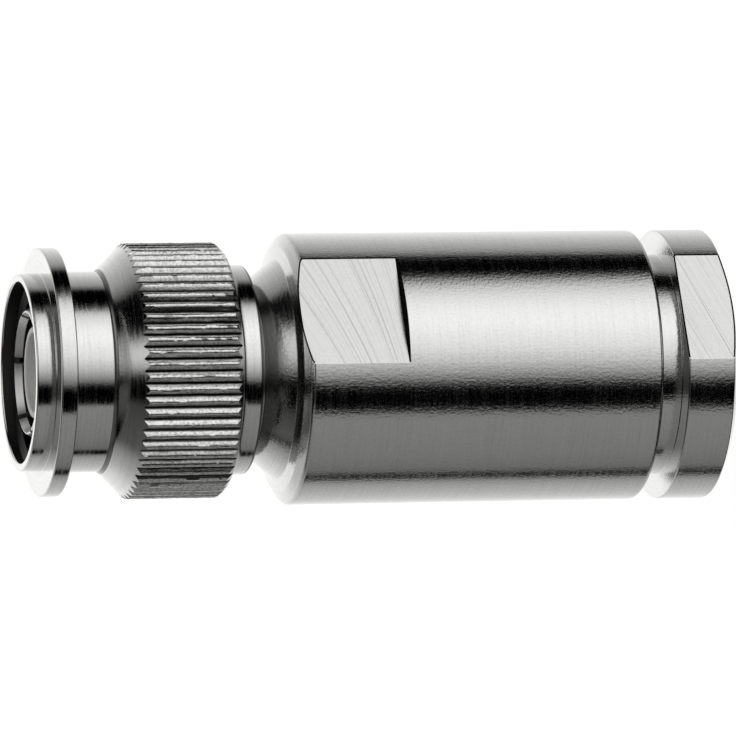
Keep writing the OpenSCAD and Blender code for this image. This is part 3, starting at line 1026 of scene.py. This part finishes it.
def make_studio():
    """What the metal reflects as walls and a ceiling, and the camera sees as plain white."""
    world = bpy.data.worlds.new("studio")
    world.use_nodes = True
    world.node_tree.nodes.clear()
    bpy.context.scene.world = world
    wiring = Wiring(world.node_tree)
    direction = wiring.add("ShaderNodeTexCoord").outputs["Generated"]
    from_camera = {"Rotation": (0, 0, math.pi / 2 - VIEW_AZIMUTH)}
    facing = wiring.add("ShaderNodeMapping", {"Vector": direction}, from_camera).outputs["Vector"]
    around = wiring.add("ShaderNodeTexGradient", {"Vector": facing}, gradient_type="RADIAL").outputs["Fac"]
    wall, gap, ceiling = [
        wiring.ramp(around, [(angle / 360 + 0.5, level) for angle, level in stops])
        for stops in (STUDIO_WALL, STUDIO_GAP, STUDIO_CEILING)
    ]
    upward = wiring.add("ShaderNodeSeparateXYZ", {"Vector": direction}).outputs["Z"]
    share = wiring.add("ShaderNodeMapRange", {"Value": upward}, {"From Min": -1}).outputs["Result"]
    height = wiring.ramp(share, STUDIO_HEIGHT)
    panel_end = {1: (math.sin(PANEL_END), -math.cos(PANEL_END), 0)}
    aside = wiring.add("ShaderNodeVectorMath", {0: direction}, panel_end, operation="DOT_PRODUCT")
    slope = wiring.add("ShaderNodeMapRange", {"Value": aside.outputs["Value"]}, {"To Max": PANEL_SLOPE})
    raised = wiring.add("ShaderNodeMath", {0: share, 1: slope.outputs["Result"]}, operation="ADD")
    walls = wiring.mix(wiring.ramp(raised.outputs[0], STUDIO_GAP_HEIGHT), wall, gap)
    room = wiring.mix(wiring.ramp(share, STUDIO_CEILING_HEIGHT), walls, ceiling)
    reflected = wiring.add("ShaderNodeBackground", {"Color": wiring.times(room, height)}).outputs[0]
    backdrop = wiring.add("ShaderNodeBackground", values={"Color": (1, 1, 1, 1)}).outputs[0]
    seen = wiring.add("ShaderNodeLightPath").outputs["Is Camera Ray"]
    both = wiring.add("ShaderNodeMixShader", {"Fac": seen, 1: reflected, 2: backdrop}).outputs[0]
    wiring.add("ShaderNodeOutputWorld", {"Surface": both})


# Floor and lamp, in metres and watts
FLOOR_R = 6
FLOOR_SIDES = 64
FLOOR_COLOUR = (0.8, 0.8, 0.8, 1)
FLOOR_GLOW = 0.75
LAMP_SIZE = 0.5
LAMP_POWER = 0.7
LAMP_PLACE = Vector((-0.2, -0.4, 0.8))


def pale_floor():
    """Matt white that glows for the camera alone, so that the background is white around a soft shadow."""
    material = bpy.data.materials.new("pale_floor")
    material.use_nodes = True
    material.node_tree.nodes.clear()
    wiring = Wiring(material.node_tree)
    matt = wiring.add("ShaderNodeBsdfDiffuse", values={"Color": FLOOR_COLOUR}).outputs[0]
    glow = wiring.add("ShaderNodeEmission", values={"Strength": FLOOR_GLOW}).outputs[0]
    glowing = wiring.add("ShaderNodeAddShader", {0: matt, 1: glow}).outputs[0]
    seen = wiring.add("ShaderNodeLightPath").outputs["Is Camera Ray"]
    both = wiring.add("ShaderNodeMixShader", {"Fac": seen, 1: matt, 2: glowing}).outputs[0]
    wiring.add("ShaderNodeOutputMaterial", {"Surface": both})
    return material


def make_floor():
    """A pale floor, low enough that the clamp nut can be screwed all the way out above it."""
    travel = next(joint["range_m"][1] for joint in frame["joints"] if joint["name"] == "clamp_draw")
    bm = bmesh.new()
    bmesh.ops.create_circle(bm, cap_ends=True, radius=FLOOR_R, segments=FLOOR_SIDES)
    bmesh.ops.translate(bm, vec=(0, 0, -travel), verts=bm.verts[:])
    floor = mesh_object(bm, "floor", (pale_floor(),))
    floor.visible_glossy = False


def make_lamp():
    """A wide soft lamp above that lifts the matt pieces."""
    data = bpy.data.lights.new("soft_lamp", "AREA")
    data.shape = "DISK"
    data.size = LAMP_SIZE
    data.energy = LAMP_POWER
    lamp = bpy.data.objects.new("soft_lamp", data)
    lamp.location = LAMP_PLACE
    lamp.rotation_euler = (-LAMP_PLACE).to_track_quat("-Z", "Y").to_euler()
    lamp.visible_glossy = False
    bpy.context.scene.collection.objects.link(lamp)


make_camera()
make_studio()
make_floor()
make_lamp()
bpy.context.scene.view_settings.view_transform = "Standard"
